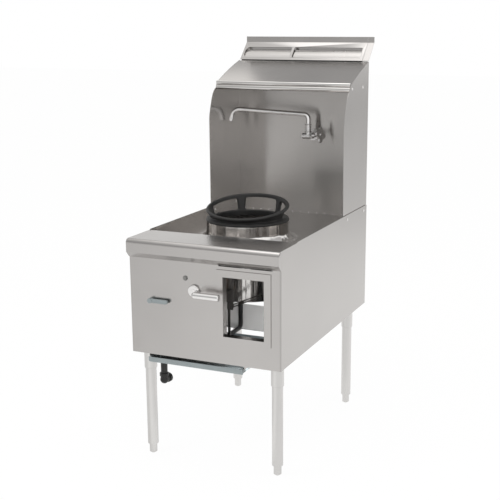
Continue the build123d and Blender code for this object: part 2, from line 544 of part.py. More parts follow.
# Vent panel: leans back at 45 degrees with two long slots and a turned-up top flange.
vent_line = ((HOOD_BACK + 3, HOOD_BACK_Z + 3), (VENT_TOP_Y, VENT_TOP_Z), (VENT_TOP_Y, FLANGE_TOP))
slope = Plane(origin=(0, HOOD_BACK, HOOD_BACK_Z), x_dir=(1, 0, 0), z_dir=(0, -1, 1))
with BuildPart() as vent_panel:
    with BuildSketch(Plane.YZ.offset((VENT_SEAM - 299) / 2 - 0.2)):
        with BuildLine():
            Polyline(*vent_line)
            offset(amount=T, side=Side.RIGHT)
        make_face()
    extrude(amount=(VENT_SEAM + 299) / 2 - 0.2, both=True)
    for x0, x1 in VENT_SLOTS:
        with BuildSketch(slope.offset(-5)):
            with Locations(((x0 + x1) / 2, SLOT_MIDDLE)):
                Rectangle(x1 - x0, SLOT_HEIGHT)
            fillet(vertices().sort_by(Axis.X)[:2], 20 if x0 < -100 else 6)
            fillet(vertices().sort_by(Axis.X)[-2:], 6)
        extrude(amount=10, mode=Mode.SUBTRACT)
save(vent_panel, "vent_panel")

with BuildPart() as vent_end_plate:
    with BuildSketch(Plane.YZ.offset((VENT_SEAM + 299) / 2)):
        with BuildLine():
            Polyline(*vent_line)
            offset(amount=T, side=Side.RIGHT)
        make_face()
    extrude(amount=(299 - VENT_SEAM) / 2, both=True)
save(vent_end_plate, "vent_end_plate")

# Deflector: slanted sheet inside the vent, with a rib behind the bar between the slots.
with BuildPart() as vent_deflector:
    with BuildSketch(Plane.YZ):
        with BuildLine():
            ThreePointArc(*DEFLECTOR)
            offset(amount=T, side=Side.RIGHT)
        make_face()
    extrude(amount=290, both=True)
    rod((-290, DEFLECTOR[2][0] + 1, DEFLECTOR[2][1] - 1), (1, 0, 0), 3, 580)
    block(269, 295, BACK, FRONT + 1070, HOOD_BACK_Z - 20, VENT_TOP_Z + 5, Mode.SUBTRACT)
    with BuildSketch(Plane.YZ.offset((VENT_SLOTS[0][1] + VENT_SLOTS[1][0]) / 2)):
        with BuildLine():
            Polyline((FRONT + 990, HOOD_BACK_Z + 3), (FRONT + 1040, HOOD_BACK_Z + 50),
                     (FRONT + 1050, HOOD_BACK_Z + 3), close=True)
        make_face()
    extrude(amount=1, both=True)
save(vent_deflector, "vent_deflector")

# Flue: duct up the back of the riser, its top cut at the vent panel's slope.
with BuildPart() as flue_duct:
    block(*FLUE_X, BACK, FRONT + 1058, FLUE_BOTTOM, VENT_TOP_Z)
    block(FLUE_X[0] + T, FLUE_X[1] - T, BACK + T, FRONT + 1056, FLUE_BOTTOM + T, VENT_TOP_Z + 1, Mode.SUBTRACT)
    block(-240, 240, BACK - 1, BACK + 3, 660, 800, Mode.SUBTRACT)
    with BuildSketch(Plane.YZ.offset(FLUE_X[0] - 1)):
        with BuildLine():
            Polyline((BACK - 1, HOOD_BACK_Z - 2), (HOOD_BACK + 3.2, HOOD_BACK_Z - 2),
                     (FRONT + 1059, VENT_TOP_Z - 2.2), (FRONT + 1059, VENT_TOP_Z + 5), (BACK - 1, VENT_TOP_Z + 5),
                     close=True)
        make_face()
    extrude(amount=FLUE_X[1] - FLUE_X[0] + 2, mode=Mode.SUBTRACT)
save(flue_duct, "flue_duct")

# ---------------------------------------------------------------- tap
climb, turn = radians(TAP_RISE), radians(TAP_TURN)
rise = (cos(climb) * cos(turn), -cos(climb) * sin(turn), sin(climb))


def on_axis(distance):
    """Point on the tap's climbing axis, at a distance to the right of the spout's swivel."""
    return (TAP_X + rise[0] * distance, TAP_Y + rise[1] * distance, TAP_Z + rise[2] * distance)


with BuildPart() as tap_body:
    rod((TAP_X - 28 * cos(turn), TAP_Y + 28 * sin(turn), TAP_Z - 1), (cos(turn), -sin(turn), 0.04), 12.5, 39)
    chamfer(edges().filter_by(GeomType.CIRCLE), 1)
    rod((TAP_X, TAP_Y, TAP_Z), rise, 10.5, 14)
    rod((TAP_X, TAP_Y, TAP_Z), (0, 1, 0), 10, SPLASH_Y - TAP_Y)
    rod((TAP_X, SPLASH_Y - 5, TAP_Z), (0, 1, 0), 24, 5)
    rod((TAP_X, TAP_Y, TAP_Z), (0, 0, 1), 12, 17)
    rod((TAP_X, TAP_Y, TAP_Z + 2), (0, 0, 1), SPOUT_R - 1.5, 30, Mode.SUBTRACT)
save(tap_body, "tap_body")

# Packing collar: ringed nut that the spout turns in.
with BuildPart() as tap_collar:
    rod((TAP_X, TAP_Y, TAP_Z + 17), (0, 0, 1), 12, 36)
    for z in (TAP_Z + 17, TAP_Z + 48):
        rod((TAP_X, TAP_Y, z), (0, 0, 1), 13.8, 5)
    rod((TAP_X, TAP_Y, TAP_Z + 15), (0, 0, 1), SPOUT_R + 0.05, 40, Mode.SUBTRACT)
save(tap_collar, "tap_collar")

# Bonnet: the stuffing nut on the tap's right end, bored for the wheel's spindle.
with BuildPart() as tap_bonnet:
    with BuildSketch(Plane(origin=on_axis(14), z_dir=rise)):
        RegularPolygon(12.5, 6, major_radius=False)
    extrude(amount=11)
    rod(on_axis(25), rise, 9, 10)
    rod(on_axis(17), rise, 4.06, 40, Mode.SUBTRACT)
save(tap_bonnet, "tap_bonnet")

# Handwheel: four-lobed disc with hub, spindle and end cap.
wheel = Plane(origin=on_axis(57), x_dir=(-sin(climb) * cos(turn), sin(climb) * sin(turn), cos(climb)), z_dir=rise)
with BuildPart() as tap_handwheel:
    with BuildSketch(wheel):
        Circle(25)
        with PolarLocations(24, 4, start_angle=-15):
            Circle(11.5)
        fillet(vertices(), 4)
    extrude(amount=9)
    chamfer(faces().sort_by(Axis.X)[-1].edges(), 1)
    rod(on_axis(42), rise, 8.5, 16)
    rod(on_axis(22), rise, 4, 30)
    rod(on_axis(66), rise, 8, 4)
save(tap_handwheel, "tap_handwheel")

# Spout: swan tube that rises from the collar, reaches across and turns down at its end.
swing = (-cos(radians(SPOUT_SWING)), -sin(radians(SPOUT_SWING)))
drop_lean = tan(radians(SPOUT_LEAN))
run = (SPOUT_REACH - (SPOUT_Z - SPOUT_TIP_Z) * drop_lean) / (1 + tan(radians(SPOUT_RISE)) * drop_lean)


def along(reach, z):
    """Point over the spout's plan line at a reach from its swivel."""
    return (TAP_X + swing[0] * reach, TAP_Y + swing[1] * reach, z)


knee_z = SPOUT_Z + run * tan(radians(SPOUT_RISE))
knee, tip = Vector(*along(run, knee_z)), Vector(*along(SPOUT_REACH, SPOUT_TIP_Z))
fall = (tip - knee).normalized()
middle_of_run = along(run / 2, (SPOUT_Z + knee_z) / 2)
with BuildPart() as spout:
    with BuildLine() as spout_line:
        FilletPolyline((TAP_X, TAP_Y, TAP_Z + 19), (TAP_X, TAP_Y, SPOUT_Z), middle_of_run, radius=21)
        FilletPolyline(middle_of_run, tuple(knee), tuple(tip - fall * 8), radius=36)
    with BuildSketch(Plane.XY.offset(TAP_Z + 19)):
        with Locations((TAP_X, TAP_Y)):
            Circle(SPOUT_R)
            Circle(SPOUT_R - 1.5, mode=Mode.SUBTRACT)
    sweep(path=spout_line.wire())
save(spout, "spout")

# Nozzle: sleeve over the spout's end with a lip round the mouth.
with BuildPart() as spout_nozzle:
    rod(tuple(tip - fall * 22), tuple(fall), SPOUT_R + 1.5, 22)
    rod(tuple(tip - fall * 23), tuple(fall), SPOUT_R, 15, Mode.SUBTRACT)
    rod(tuple(tip - fall * 10), tuple(fall), SPOUT_R - 2, 12, Mode.SUBTRACT)
save(spout_nozzle, "spout_nozzle")
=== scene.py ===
# %% [markdown]
# # A gas wok range in sheet steel
# The solid model of the range is loaded as a fixed frame. This lesson gives every surface its finish,
# models the cast wok ring and the polished rolls of the hood, and adds the small pieces that a maker would
# add by hand: beads on the tap, screws, rivets and broken sheet edges.

# %% Load the frame
import json
from math import pi, radians, sin
import bpy
from mathutils import Matrix, Vector


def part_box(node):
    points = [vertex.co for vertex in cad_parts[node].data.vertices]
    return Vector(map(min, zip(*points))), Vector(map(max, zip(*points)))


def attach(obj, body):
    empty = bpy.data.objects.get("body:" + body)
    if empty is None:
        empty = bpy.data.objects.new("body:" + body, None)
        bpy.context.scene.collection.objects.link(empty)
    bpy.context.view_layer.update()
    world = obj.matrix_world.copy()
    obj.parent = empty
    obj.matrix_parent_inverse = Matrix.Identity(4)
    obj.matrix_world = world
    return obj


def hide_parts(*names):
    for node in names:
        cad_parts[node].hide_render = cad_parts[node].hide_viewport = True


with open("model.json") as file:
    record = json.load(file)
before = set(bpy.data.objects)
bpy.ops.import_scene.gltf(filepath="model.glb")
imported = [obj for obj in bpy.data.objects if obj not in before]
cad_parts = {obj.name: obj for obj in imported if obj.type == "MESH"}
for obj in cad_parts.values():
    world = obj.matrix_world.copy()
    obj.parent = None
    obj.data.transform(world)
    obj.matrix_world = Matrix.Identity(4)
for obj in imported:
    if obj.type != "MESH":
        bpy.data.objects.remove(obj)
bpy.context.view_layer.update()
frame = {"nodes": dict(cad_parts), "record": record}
nodes = frame["nodes"]
bodies = frame["record"]["behaviour"]["bodies"]
body_of_node = {node: body for body, members in bodies.items() for node in members}

# %% [markdown]
# ## Camera
# The photograph was taken from the right front, a little above the hood, with a long lens. Its place, turn
# and lens were solved from the object's own corners, so the render can be laid over the photograph. The
# small shift keeps the object where it stands in the picture.

# %% Camera at the photograph's place
bpy.ops.object.camera_add(location=(1.5622, -3.5307, 1.6291), rotation=(radians(76.68), 0, radians(22.53)))
camera = bpy.context.object
camera.data.sensor_width = 36
camera.data.lens = 70.11
camera.data.shift_x = -0.0619
camera.data.shift_y = 0.0147
camera.data.clip_end = 60
bpy.context.scene.camera = camera
print("lens", camera.data.lens)

# %% [markdown]
# ## Studio
# Steel shows what stands round it, so the surroundings matter more than the lamps. The world has three
# parts. The eye sees plain white. Metal sees the studio: a white backdrop behind, a darker gap over it, a
# broad soft box overhead, a second soft box high on the left, a pale panel at the front right, and a grey
# room at the front left. Matt surfaces get an even soft light. One could light steel with many lamps
# instead, but each would leave its own hard spot on every rounded edge. The lamps light only what is matt,
# and one small lamp stands inside the burner box, because the plate behind the burner is seen through the
# window and would be lost in the dark.

# %% World helper
world = bpy.data.worlds.new("studio")
bpy.context.scene.world = world
world.use_nodes = True
wn, wl = world.node_tree.nodes, world.node_tree.links
wn.clear()


def add(tree, kind, **settings):
    """New node with some of its settings and its inputs given by name."""
    node = tree.nodes.new(kind)
    for key, value in settings.items():
        if key in node.inputs:
            node.inputs[key].default_value = value
        else:
            setattr(node, key, value)
    return node


def ramp(tree, source, stops):
    """Colour ramp of greys over a value from 0 to 1."""
    node = tree.nodes.new("ShaderNodeValToRGB")
    marks = node.color_ramp.elements
    for i, (place, grey) in enumerate(stops):
        mark = marks[i] if i < 2 else marks.new(place)
        mark.position, mark.color = place, (grey, grey * 0.995, grey * 0.985, 1)
    tree.links.new(source, node.inputs["Fac"])
    return node.outputs["Color"]


def step(tree, source, low, high):
    """Soft step from 0 to 1 between two values."""
    node = add(tree, "ShaderNodeMapRange", interpolation_type="SMOOTHSTEP")
    node.inputs["From Min"].default_value, node.inputs["From Max"].default_value = low, high
    tree.links.new(source, node.inputs["Value"])
    return node.outputs["Result"]


def times(tree, one, other):
    """Product of two values."""
    node = add(tree, "ShaderNodeMath", operation="MULTIPLY")
    tree.links.new(one, node.inputs[0])
    if isinstance(other, (int, float)):
        node.inputs[1].default_value = other
    else:
        tree.links.new(other, node.inputs[1])
    return node.outputs[0]


def blend(tree, share, one, other):
    """Mix of two colours by a share."""
    node = add(tree, "ShaderNodeMix", data_type="RGBA")
    tree.links.new(share, node.inputs["Factor"])
    for socket, value in (("A", one), ("B", other)):
        if isinstance(value, tuple):
            node.inputs[socket].default_value = (*value, 1)
        else:
            tree.links.new(value, node.inputs[socket])
    return node.outputs["Result"]


def plane_side(tree, direction, normal):
    """How far a direction points along a normal."""
    node = add(tree, "ShaderNodeVectorMath", operation="DOT_PRODUCT")
    tree.links.new(direction, node.inputs[0])
    node.inputs[1].default_value = normal
    return node.outputs["Value"]


# %% What metal sees
tree = world.node_tree
toward = wn.new("ShaderNodeTexCoord").outputs["Generated"]
height = plane_side(tree, toward, (0, 0, 1))
behind = step(tree, plane_side(tree, toward, (0, 1, 0)), -0.25, 0.25)
back_wall = ramp(tree, height, ((0.0, 0.88), (0.26, 0.92), (0.42, 0.45), (0.80, 0.45), (0.90, 0.58)))
front_room = ramp(tree, height, ((0.0, 0.42), (0.30, 0.44), (0.60, 0.62), (0.86, 0.95), (0.92, 1.0)))
right_panel = ramp(tree, height, ((0.0, 1.05), (0.16, 1.15), (0.40, 0.95), (0.92, 1.0)))
front = blend(tree, step(tree, plane_side(tree, toward, (1, 0, 0)), 0.02, 0.30), front_room, right_panel)
studio = blend(tree, behind, front, back_wall)
SOFT_BOX_SIDE = (-0.914, -0.293, -0.282)  # normal of the plane through the left soft box's right edge
left_of_edge = step(tree, plane_side(tree, toward, SOFT_BOX_SIDE), -0.004, 0.012)
lifted = times(tree, step(tree, height, 0.50, 0.76), step(tree, height, 0.94, 0.84))
left_box = times(tree, left_of_edge, times(tree, lifted, behind))
studio = blend(tree, left_box, studio, (1.25, 1.23, 1.20))
overhead = step(tree, height, 0.905, 0.970)
studio = blend(tree, overhead, studio, (2.0, 1.98, 1.96))
print("world nodes", len(wn))

# %% The three skies
seen_by_metal, seen_by_eye, soft = (wn.new("ShaderNodeBackground") for _ in range(3))
wl.new(studio, seen_by_metal.inputs["Color"])
seen_by_eye.inputs["Color"].default_value = (1, 1, 1, 1)
from_above = step(tree, plane_side(tree, toward, (-0.42, -0.25, 0.87)), -1.0, 1.0)
wl.new(ramp(tree, from_above, ((0.0, 0.45), (1.0, 0.95))), soft.inputs["Color"])
path = wn.new("ShaderNodeLightPath")
glossy_or_clear = add(tree, "ShaderNodeMath", operation="MAXIMUM")
wl.new(path.outputs["Is Glossy Ray"], glossy_or_clear.inputs[0])
wl.new(path.outputs["Is Transmission Ray"], glossy_or_clear.inputs[1])
metal_mix, eye_mix = wn.new("ShaderNodeMixShader"), wn.new("ShaderNodeMixShader")
wl.new(glossy_or_clear.outputs[0], metal_mix.inputs["Fac"])
wl.new(soft.outputs[0], metal_mix.inputs[1])
wl.new(seen_by_metal.outputs[0], metal_mix.inputs[2])
wl.new(path.outputs["Is Camera Ray"], eye_mix.inputs["Fac"])
wl.new(metal_mix.outputs[0], eye_mix.inputs[1])
wl.new(seen_by_eye.outputs[0], eye_mix.inputs[2])
wl.new(eye_mix.outputs[0], wn.new("ShaderNodeOutputWorld").inputs["Surface"])
bpy.context.scene.view_settings.view_transform = "Standard"


# %% Lamps
def lamp(name, place, aim, size, power):
    """Square soft lamp that looks at a point and lights matt surfaces only."""
    turn = (Vector(aim) - Vector(place)).to_track_quat("-Z", "Y").to_euler()
    bpy.ops.object.light_add(type="AREA", location=place, rotation=turn)
    made = bpy.context.object
    made.name, made.data.size, made.data.energy = name, size, power
    made.visible_glossy = False
    return made


lamp("key", (-2.6, -3.2, 3.4), (0, 0, 0.9), 2.2, 80)
lamp("side", (3.6, 0.2, 2.4), (0, 0, 0.9), 2.0, 40)
lamp("top", (0.3, -0.4, 4.2), (0, 0, 0.8), 2.4, 40)
lamp("burner box", (0.16, -0.46, 0.47), (0.12, -0.09, 0.49), 0.2, 0.95).visible_camera = False
print("lamps", len(bpy.data.lights))

# %% [markdown]
# ## Floor
# A plain pale floor. The eye sees it almost as white as the backdrop, so only a soft contact shadow shows.
# Metal sees it white near the range and greyer far off, which is what gives upright steel its slow fade
# towards the top.

# %% Floor
bpy.ops.mesh.primitive_plane_add(size=60, location=(0, 0, 0))
floor = bpy.context.object
floor.name = "floor"
floor_mat = bpy.data.materials.new("pale_floor")
floor_mat.use_nodes = True
ft = floor_mat.node_tree
ft.nodes.clear()
paint = add(ft, "ShaderNodeBsdfDiffuse", Color=(0.82, 0.82, 0.81, 1))
to_eye, to_metal = add(ft, "ShaderNodeEmission", Color=(1, 1, 1, 1)), ft.nodes.new("ShaderNodeEmission")
spot = add(ft, "ShaderNodeVectorMath", operation="DISTANCE")
spot.inputs[1].default_value = (0.5, 2.0, 0)
ground = ft.nodes.new("ShaderNodeTexCoord").outputs["Object"]
ft.links.new(ground, spot.inputs[0])
FLOOR_REACH = 30  # metres over which the floor's look changes
reach = add(ft, "ShaderNodeMapRange")
reach.inputs["From Max"].default_value = FLOOR_REACH
ft.links.new(spot.outputs["Value"], reach.inputs["Value"])
way = add(ft, "ShaderNodeVectorMath", operation="NORMALIZE")
ft.links.new(ground, way.inputs[0])
sideways = plane_side(ft, way.outputs[0], (1, 0, 0))
to_front = step(ft, plane_side(ft, way.outputs[0], (0, -1, 0)), -0.1, 0.2)
far = reach.outputs["Result"]
fade_behind = ramp(ft, far, ((0.0, 1.0), (0.05, 0.92), (0.11, 0.73), (0.17, 0.70), (0.27, 0.67), (0.53, 0.50),
                             (1.0, 0.46)))
fade_left = ramp(ft, far, ((0.0, 0.88), (0.10, 0.93), (0.17, 0.87), (0.27, 0.92), (0.53, 0.86), (1.0, 0.70)))
fade_right = ramp(ft, far, ((0.0, 0.9), (0.16, 0.70), (0.25, 0.50), (0.33, 0.62), (0.42, 0.92), (0.6, 1.1),
                            (1.0, 1.15)))
dimmer = blend(ft, step(ft, sideways, -0.58, -0.36), (0.80, 0.80, 0.80), (1, 1, 1))
left_floor = add(ft, "ShaderNodeMix", data_type="RGBA", blend_type="MULTIPLY")
left_floor.inputs["Factor"].default_value = 1
ft.links.new(fade_left, left_floor.inputs["A"])
ft.links.new(dimmer, left_floor.inputs["B"])
front_floor = blend(ft, step(ft, sideways, 0.02, 0.30), left_floor.outputs["Result"], fade_right)
ft.links.new(blend(ft, to_front, fade_behind, front_floor), to_metal.inputs["Color"])
floor_path = ft.nodes.new("ShaderNodeLightPath")
FLOOR_GLOW = 0.97  # the share of the floor's look that is plain light, the rest takes the shadow
eye_share = times(ft, floor_path.outputs["Is Camera Ray"], FLOOR_GLOW)
metal_share = times(ft, floor_path.outputs["Is Glossy Ray"], 0.9)
metal_floor, eye_floor = ft.nodes.new("ShaderNodeMixShader"), ft.nodes.new("ShaderNodeMixShader")
ft.links.new(metal_share, metal_floor.inputs["Fac"])
ft.links.new(paint.outputs[0], metal_floor.inputs[1])
ft.links.new(to_metal.outputs[0], metal_floor.inputs[2])
ft.links.new(eye_share, eye_floor.inputs["Fac"])
ft.links.new(metal_floor.outputs[0], eye_floor.inputs[1])
ft.links.new(to_eye.outputs[0], eye_floor.inputs[2])
ft.links.new(eye_floor.outputs[0], ft.nodes.new("ShaderNodeOutputMaterial").inputs["Surface"])
floor.data.materials.append(floor_mat)
print("floor", floor.dimensions[:2])

# %% [markdown]
# ## Shared effects
# Brushed sheet has long fine scratches in one direction. The grain group stretches a noise along one axis
# and gives both a tone for the colour and a normal. The cloud group gives the slow uneven patches of
# handled steel. Both are built once here, and every metal below places them with its own values.


# %% Group helper
def new_group(name, sockets):
    """Empty node group with its sockets and its two end nodes."""
    group = bpy.data.node_groups.new(name, "ShaderNodeTree")
    for label, way, kind, start in sockets:
        socket = group.interface.new_socket(name=label, in_out=way, socket_type=kind)
        if start is not None:
            socket.default_value = start
    return group, group.nodes.new("NodeGroupInput"), group.nodes.new("NodeGroupOutput")


# %% Grain group
grain, g_in, g_out = new_group("brushed grain", (
    ("Stretch", "INPUT", "NodeSocketVector", (8, 900, 900)), ("Depth", "INPUT", "NodeSocketFloat", 0.1),
    ("Tone", "OUTPUT", "NodeSocketFloat", None), ("Normal", "OUTPUT", "NodeSocketVector", None)))
stretched = add(grain, "ShaderNodeVectorMath", operation="MULTIPLY")
scratches = add(grain, "ShaderNodeTexNoise", Scale=1, Detail=3)
dent = add(grain, "ShaderNodeBump", Distance=0.0006)
grain.links.new(grain.nodes.new("ShaderNodeTexCoord").outputs["Object"], stretched.inputs[0])
grain.links.new(g_in.outputs["Stretch"], stretched.inputs[1])
grain.links.new(stretched.outputs[0], scratches.inputs["Vector"])
grain.links.new(scratches.outputs["Fac"], dent.inputs["Height"])
grain.links.new(g_in.outputs["Depth"], dent.inputs["Strength"])
grain.links.new(scratches.outputs["Fac"], g_out.inputs["Tone"])
grain.links.new(dent.outputs["Normal"], g_out.inputs["Normal"])
print("grain nodes", len(grain.nodes))

# %% Cloud group
cloud, c_in, c_out = new_group("slow clouds", (
    ("Size", "INPUT", "NodeSocketFloat", 6.0), ("Low", "INPUT", "NodeSocketFloat", 0.35),
    ("High", "INPUT", "NodeSocketFloat", 0.65), ("Mask", "OUTPUT", "NodeSocketFloat", None)))
patches = add(cloud, "ShaderNodeTexNoise", Detail=4)
edge = add(cloud, "ShaderNodeMapRange", interpolation_type="SMOOTHSTEP")
cloud.links.new(cloud.nodes.new("ShaderNodeTexCoord").outputs["Object"], patches.inputs["Vector"])
cloud.links.new(c_in.outputs["Size"], patches.inputs["Scale"])
cloud.links.new(patches.outputs["Fac"], edge.inputs["Value"])
cloud.links.new(c_in.outputs["Low"], edge.inputs["From Min"])
cloud.links.new(c_in.outputs["High"], edge.inputs["From Max"])
cloud.links.new(edge.outputs["Result"], c_out.inputs["Mask"])
print("cloud nodes", len(cloud.nodes))

# %% [markdown]
# ## Finishes
# All the metals share one recipe. A darker and a lighter tone are mixed by the grain and the clouds, the
# clouds also move the gloss a little, and the grain can tilt the surface. Only the numbers differ from one
# finish to the next. The plate behind the burner is the exception: it is steel on the real range, but its
# finish here is matt and not metal, so that the lamp in the burner box can light it. Gloss drawn out along
# one axis smears a reflection that way, as on the tall back sheet.


# %% Recipe for metal
def finish(name, dark, light, rough, stretch=(8, 900, 900), depth=0.02, metallic=1.0, clouds=5.0, spread=0.04,
           smear=0.0, smear_axis="Z", ripple=0.0, shine=0.5):
    """Metal with grain, slow patches and uneven gloss. Smear draws reflections out along an axis, and
    ripple bends them into upright bands, as on rolled sheet."""
    made = bpy.data.materials.new(name)
    made.use_nodes = True
    tree = made.node_tree
    skin = tree.nodes["Principled BSDF"]
    lines, patch = tree.nodes.new("ShaderNodeGroup"), tree.nodes.new("ShaderNodeGroup")
    lines.node_tree, patch.node_tree = grain, cloud
    lines.inputs["Stretch"].default_value = stretch
    lines.inputs["Depth"].default_value = depth
    patch.inputs["Size"].default_value = clouds
    tone = add(tree, "ShaderNodeMath", operation="MULTIPLY_ADD")
    tone.inputs[1].default_value = 0.45
    tree.links.new(patch.outputs["Mask"], tone.inputs[0])
    tree.links.new(times(tree, lines.outputs["Tone"], 0.55), tone.inputs[2])
    tree.links.new(blend(tree, tone.outputs[0], dark, light), skin.inputs["Base Color"])
    gloss = add(tree, "ShaderNodeMapRange")
    gloss.inputs["To Min"].default_value = max(0.02, rough - spread)
    gloss.inputs["To Max"].default_value = rough + spread
    tree.links.new(patch.outputs["Mask"], gloss.inputs["Value"])
    tree.links.new(gloss.outputs["Result"], skin.inputs["Roughness"])
    tree.links.new(lines.outputs["Normal"], skin.inputs["Normal"])
    skin.inputs["Metallic"].default_value = metallic
    skin.inputs["Specular IOR Level"].default_value = shine
    if ripple:
        flat = add(tree, "ShaderNodeVectorMath", operation="MULTIPLY")
        flat.inputs[1].default_value = (1, 1, 0)
        waves = add(tree, "ShaderNodeTexNoise", Scale=22, Detail=2)
        swell = add(tree, "ShaderNodeBump", Strength=ripple, Distance=0.01)
        tree.links.new(tree.nodes.new("ShaderNodeTexCoord").outputs["Object"], flat.inputs[0])
        tree.links.new(flat.outputs[0], waves.inputs["Vector"])
        tree.links.new(waves.outputs["Fac"], swell.inputs["Height"])
        tree.links.new(lines.outputs["Normal"], swell.inputs["Normal"])
        tree.links.new(swell.outputs["Normal"], skin.inputs["Normal"])
    if smear:
        skin.inputs["Anisotropic"].default_value = smear
        skin.inputs["Anisotropic Rotation"].default_value = 0.25 if smear_axis == "Z" else 0.0
        tree.links.new(add(tree, "ShaderNodeTangent", direction_type="RADIAL", axis=smear_axis).outputs[0],
                       skin.inputs["Tangent"])
    return made


# %% The finishes
front_steel = finish("front_steel", (0.53, 0.514, 0.503), (0.575, 0.558, 0.547), 0.24, depth=0.0,
                     spread=0.015)
side_steel = finish("side_steel", (0.53, 0.514, 0.503), (0.575, 0.558, 0.547), 0.24, stretch=(900, 8, 900),
                    depth=0.0, spread=0.015)
hood_steel = finish("hood_steel", (0.54, 0.523, 0.512), (0.58, 0.563, 0.551), 0.14, depth=0.0, spread=0.01,
                    smear=1.0, smear_axis="X")
deck_steel = finish("deck_steel", (0.50, 0.483, 0.468), (0.56, 0.541, 0.526), 0.15, depth=0.0)
mirror_steel = finish("mirror_steel", (0.55, 0.532, 0.515), (0.60, 0.58, 0.565), 0.24, stretch=(5, 5, 700),
                      depth=0.0, spread=0.02, smear=1.0)
collar_steel = finish("collar_steel", (0.80, 0.785, 0.77), (0.88, 0.865, 0.85), 0.13, stretch=(500, 500, 12),
                      depth=0.02, spread=0.02, ripple=1.0)
satin_steel = finish("satin_steel", (0.60, 0.58, 0.565), (0.66, 0.64, 0.625), 0.24, depth=0.0)
bright_steel = finish("bright_steel", (0.72, 0.705, 0.69), (0.80, 0.785, 0.77), 0.07, stretch=(6, 700, 700),
                      depth=0.0, spread=0.01)
leg_steel = finish("leg_steel", (0.72, 0.71, 0.70), (0.80, 0.79, 0.78), 0.32, stretch=(600, 600, 20),
                   depth=0.05)
chrome = finish("chrome", (0.80, 0.79, 0.785), (0.90, 0.89, 0.885), 0.12, stretch=(200, 200, 200), depth=0.02,
                spread=0.03)
satin_chrome = finish("satin_chrome", (0.76, 0.75, 0.745), (0.84, 0.83, 0.825), 0.34, stretch=(300, 300, 300),
                      depth=0.02, spread=0.03)
cast_iron = finish("cast_iron", (0.010, 0.010, 0.0105), (0.024, 0.0235, 0.023), 0.46, stretch=(420, 420, 420),
                   depth=0.35, metallic=0.0, clouds=14, spread=0.08, shine=0.30)
black_pipe = finish("black_pipe", (0.010, 0.010, 0.011), (0.028, 0.027, 0.026), 0.38, stretch=(60, 60, 60),
                    depth=0.15, metallic=0.0, clouds=20, spread=0.08)
grey_enamel = finish("grey_enamel", (0.25, 0.285, 0.295), (0.31, 0.345, 0.355), 0.34, stretch=(300, 300, 300),
                     depth=0.05, metallic=0.3, clouds=20)
brass = finish("brass", (0.50, 0.36, 0.15), (0.64, 0.49, 0.24), 0.28, stretch=(300, 300, 300), depth=0.04)
copper = finish("copper", (0.50, 0.25, 0.15), (0.62, 0.34, 0.22), 0.3, stretch=(300, 300, 300), depth=0.04)
dark_plastic = finish("dark_plastic", (0.16, 0.16, 0.155), (0.21, 0.21, 0.205), 0.4, stretch=(900, 900, 900),
                      depth=0.1, metallic=0.0, clouds=30)
matt_steel = finish("matt_steel", (0.70, 0.69, 0.68), (0.80, 0.79, 0.78), 0.5, stretch=(6, 900, 900),
                    depth=0.0, metallic=0.0)
burnt_steel = finish("burnt_steel", (0.10, 0.095, 0.09), (0.24, 0.22, 0.20), 0.4, stretch=(300, 300, 300),
                     depth=0.1, clouds=18)
print("finishes", len(bpy.data.materials))

# %% Give each CAD node its finish
wear = {
    front_steel: ("front_panel", "front_rail", "window_frame", "rear_panel", "base_frame", "flue_duct"),
    matt_steel: ("inner_baffle",),
    hood_steel: ("hood_panel", "vent_panel", "vent_end_plate"),
    side_steel: ("side_panel_left", "side_panel_right", "riser_side_left", "riser_side_right",
                 "tray_runner_left", "tray_runner_right", "electrode_bracket"),
    deck_steel: ("deck_pan",),
    mirror_steel: ("backsplash",),
    collar_steel: ("well_collar", "chamber_shell"),
    satin_steel: ("vent_deflector",),
    leg_steel: tuple(name for name in nodes if name.startswith(("leg_", "foot_"))),
    chrome: ("valve_lever", "lever_cap", "spout", "spout_nozzle"),
    satin_chrome: ("valve_stem", "tap_body", "tap_collar", "tap_bonnet", "tap_handwheel"),
    cast_iron: ("wok_ring", "burner_head", "burner_support", "gas_valve_body"),
    black_pipe: ("gas_inlet_pipe", "inlet_elbow", "burner_feed_pipe"),
    grey_enamel: ("pilot_lever", "drip_tray"),
    brass: ("pilot_valve", "pilot_burner"),
    copper: ("pilot_tube",),
    dark_plastic: ("igniter_body", "igniter_button"),
    burnt_steel: ("igniter_electrodes",),
}
finish_of_node = {name: made for made, names in wear.items() for name in names}
for name, made in finish_of_node.items():
    nodes[name].data.materials.clear()
    nodes[name].data.materials.append(made)
print("nodes without a finish", sorted(set(nodes) - set(finish_of_node)))

# %% [markdown]
# ## Broken edges
# Folded and cut sheet never ends in a razor edge. The nine sheet parts whose edges show most get a half-
# millimetre bevel, as a live modifier after a weld, so that the solid's own mesh stays as it is and its
# edges still catch the light.

# %% Bevel the sheet parts
def break_edges(name, width):
    """Weld and bevel on a solid's object, with its own mesh untouched."""
    weld = nodes[name].modifiers.new("weld", "WELD")
    weld.merge_threshold = 0.00002
    bevel = nodes[name].modifiers.new("broken edge", "BEVEL")
    bevel.width, bevel.segments, bevel.limit_method, bevel.angle_limit = width, 2, "ANGLE", radians(40)
    bevel.harden_normals = True


SHEET_PARTS = ("front_rail", "window_frame", "drip_tray", "side_panel_left", "side_panel_right",
               "riser_side_left", "riser_side_right", "vent_panel", "vent_end_plate")
BROKEN_EDGE = 0.0005
for name in SHEET_PARTS:
    break_edges(name, BROKEN_EDGE)
print("sheet parts with broken edges", len(SHEET_PARTS))

# %% [markdown]
# ## Hand tools
# New pieces are worked in edit mode as by hand. These helpers clear the selection, pick faces by their
# place, and leave a finished piece at the origin with its place in its mesh, riding on its body.


# %% Helpers for modelling
def clear_selection():
    """Nothing selected and nothing active in the way."""
    bpy.ops.object.select_all(action="DESELECT")


